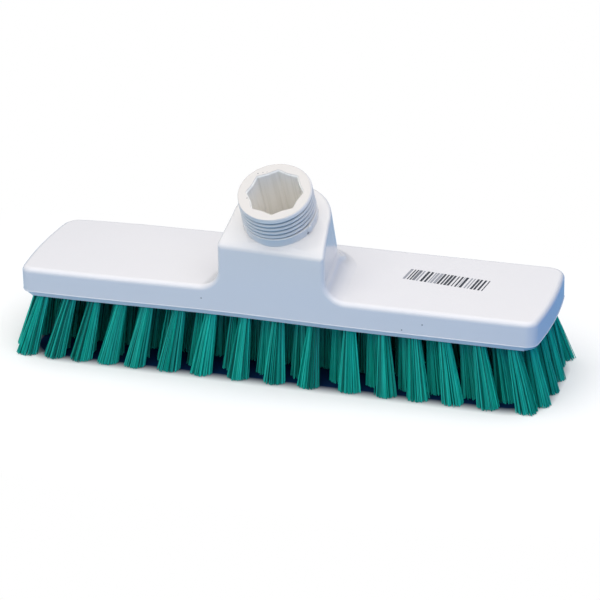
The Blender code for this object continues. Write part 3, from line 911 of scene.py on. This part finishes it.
focus(block)
bpy.ops.object.shade_smooth_by_angle(angle=slabSizes["smoothUpTo"])
applyModifier(block, "WEIGHTED_NORMAL", keep_sharp=True, weight=100)
whitePlastic = makeWhitePlastic()
tealFibre = makeTealFibre()
dress(block, whitePlastic, "block_plastic", "block")
for name, row in tufts.items():
    dress(row, tealFibre, "bristle_fibre", "bristles_" + name)
dress(bars, makeInk(), "block_plastic")
print("finishes on", 2 + len(tufts), "pieces")


stageLook = {
    "floor": (1.0, 1.0, 1.0, 1), "floorSize": 60.0, "drop": 0.0001,
    "bounce": (0.25, 0.42, 0.605, 1), "bounceRight": (0.02, 0.21, 0.53, 1), "bounceRange": (0.09, 0.20),
    "glowReach": (0.15, 0.055), "glowRange": (1.0, 3.0), "lift": 0.02,
    # the navy patch under the brush is a painted contact shadow on the floor
    "contactShadow": (0.004, 0.022, 0.075, 1), "contactHalf": (0.1400, 0.0350),
    "contactRound": 0.020, "contactSoft": (-0.004, 0.005),
    "zenith": (0.62, 0.62, 0.62, 1), "horizon": (0.03, 0.13, 0.21, 1), "zenithRange": (0.0, 0.5),
    "right": (0.02, 0.16, 0.46, 1), "rightRange": (0.15, 0.7), "rightBelow": (0.35, 0.75),
    "left": (0.46, 0.50, 0.56, 1), "leftRange": (-0.8, -0.3),
    "back": 0.35, "backRange": (0.0, 0.6), "sky": 1.0,
    "lampPlace": (0.10, -0.55, 1.60), "lampTarget": (0, 0, 0.05),
    "lampSize": 2.6, "lampPower": 31.0, "lampColour": (1.0, 0.975, 0.935),
}
white, black = (1, 1, 1, 1), (0, 0, 0, 1)


def makeFloor():
    look = stageLook
    bpy.ops.mesh.primitive_plane_add(size=look["floorSize"], location=(0, 0, -look["drop"]))
    floor = bpy.context.object
    floor.name = "floor"
    applyPlace(floor)
    finish, tree, shader = newFinish("paleFloor")
    tree.nodes.remove(shader)
    coords = addNode(tree, "TexCoord").outputs["Object"]
    place = axes(tree, coords)

    halfX, halfY = look["contactHalf"]
    corner = look["contactRound"]
    fromMiddle = maths(tree, "SUBTRACT", place["Y"], slabSizes["middleY"])
    pastX = maths(tree, "SUBTRACT", maths(tree, "ABSOLUTE", place["X"]), halfX - corner)
    pastY = maths(tree, "SUBTRACT", maths(tree, "ABSOLUTE", fromMiddle), halfY - corner)
    past = {"X": maths(tree, "MAXIMUM", pastX), "Y": maths(tree, "MAXIMUM", pastY)}
    past = lengthOf(tree, addNode(tree, "CombineXYZ", past).outputs[0])
    near, clear = look["contactSoft"]
    beside = ramp(tree, past, corner + near, corner + clear)  # 0 where the tips stand, under the painted contact shadow
    # the floor under the tips takes a painted shadow, navy
    ground = mixColours(tree, beside, look["contactShadow"], look["floor"])
    seen = addNode(tree, "BsdfDiffuse", {"Color": ground}).outputs[0]
    tint = mixColours(tree, ramp(tree, place["X"], *look["bounceRange"]), look["bounce"], look["bounceRight"])
    thrown = addNode(tree, "BsdfDiffuse", {"Color": tint}).outputs[0]

    reachX, reachY = look["glowReach"]
    away = lengthOf(tree, scaled(tree, coords, (1 / reachX, 1 / reachY, 0)))
    far = maths(tree, "MULTIPLY", ramp(tree, away, *look["glowRange"], look["lift"], 1.0), beside)
    plain = addNode(tree, "Emission", {"Color": white, "Strength": 1.0}).outputs[0]
    seen = mixShaders(tree, far, seen, plain)
    seeThrough = addNode(tree, "BsdfTransparent").outputs[0]
    fromBelow = addNode(tree, "NewGeometry").outputs["Backfacing"]
    seen = mixShaders(tree, fromBelow, seen, seeThrough)
    isSeen = addNode(tree, "LightPath").outputs["Is Camera Ray"]
    mixed = mixShaders(tree, isSeen, thrown, seen)  # seen plain, but throws a tinted light on the brush
    tree.links.new(mixed, tree.nodes["Material Output"].inputs["Surface"])
    floor.data.materials.append(finish)


def makeSky():
    look = stageLook
    world = bpy.data.worlds.new("studio")
    world.use_nodes = True
    tree = world.node_tree
    lit = tree.nodes["Background"]
    way = axes(tree, addNode(tree, "TexCoord").outputs["Generated"])
    low = maths(tree, "SUBTRACT", 1.0, ramp(tree, way["Z"], *look["zenithRange"]))
    behind = maths(tree, "MULTIPLY", ramp(tree, way["Y"], *look["backRange"], 0.0, 1.0 - look["back"]), low)
    right = ramp(tree, way["X"], *look["rightRange"])
    right = maths(tree, "MULTIPLY", right, ramp(tree, way["Z"], *look["rightBelow"], 1.0, 0.0))
    left = ramp(tree, way["X"], *look["leftRange"], 1.0, 0.0)
    sky = mixColours(tree, low, look["zenith"], look["horizon"])
    sky = mixColours(tree, left, sky, look["left"])
    sky = mixColours(tree, right, sky, look["right"])
    tree.links.new(mixColours(tree, behind, sky, black), lit.inputs["Color"])
    lit.inputs["Strength"].default_value = look["sky"]
    plain = addNode(tree, "Background", {"Color": white, "Strength": 1.0}).outputs[0]
    path = addNode(tree, "LightPath").outputs
    isSeen = maths(tree, "MAXIMUM", path["Is Camera Ray"], path["Is Transmission Ray"])
    mixed = mixShaders(tree, isSeen, lit.outputs[0], plain)
    tree.links.new(mixed, tree.nodes["World Output"].inputs["Surface"])
    bpy.context.scene.world = world


def makeLamp():
    look = stageLook
    bpy.ops.object.light_add(type="AREA", location=look["lampPlace"])
    lamp = bpy.context.object
    lamp.name = "softLamp"
    lamp.data.size = look["lampSize"]
    lamp.data.energy = look["lampPower"]
    lamp.data.color = look["lampColour"]
    lamp.rotation_euler = (Vector(look["lampTarget"]) - lamp.location).to_track_quat("-Z", "Y").to_euler()


viewSettings = {
    "place": (0.4197, -1.29697, 0.6619), "azimuth": 17.74, "elevation": 24.78, "roll": -1.28,
    "lens": 172.75, "sensor": 36,
}


def makeCamera():
    v = viewSettings
    turn = (Matrix.Rotation(math.radians(v["azimuth"]), 4, "Z")
            @ Matrix.Rotation(math.radians(90 - v["elevation"]), 4, "X")
            @ Matrix.Rotation(math.radians(v["roll"]), 4, "Z"))
    bpy.ops.object.camera_add(location=v["place"], rotation=turn.to_euler())
    camera = bpy.context.object
    camera.data.lens = v["lens"]
    camera.data.sensor_width = v["sensor"]
    bpy.context.scene.camera = camera


makeFloor()
makeSky()
makeLamp()
makeCamera()
bpy.context.scene.view_settings.view_transform = "Standard"
print("floor, sky, lamp and camera set")
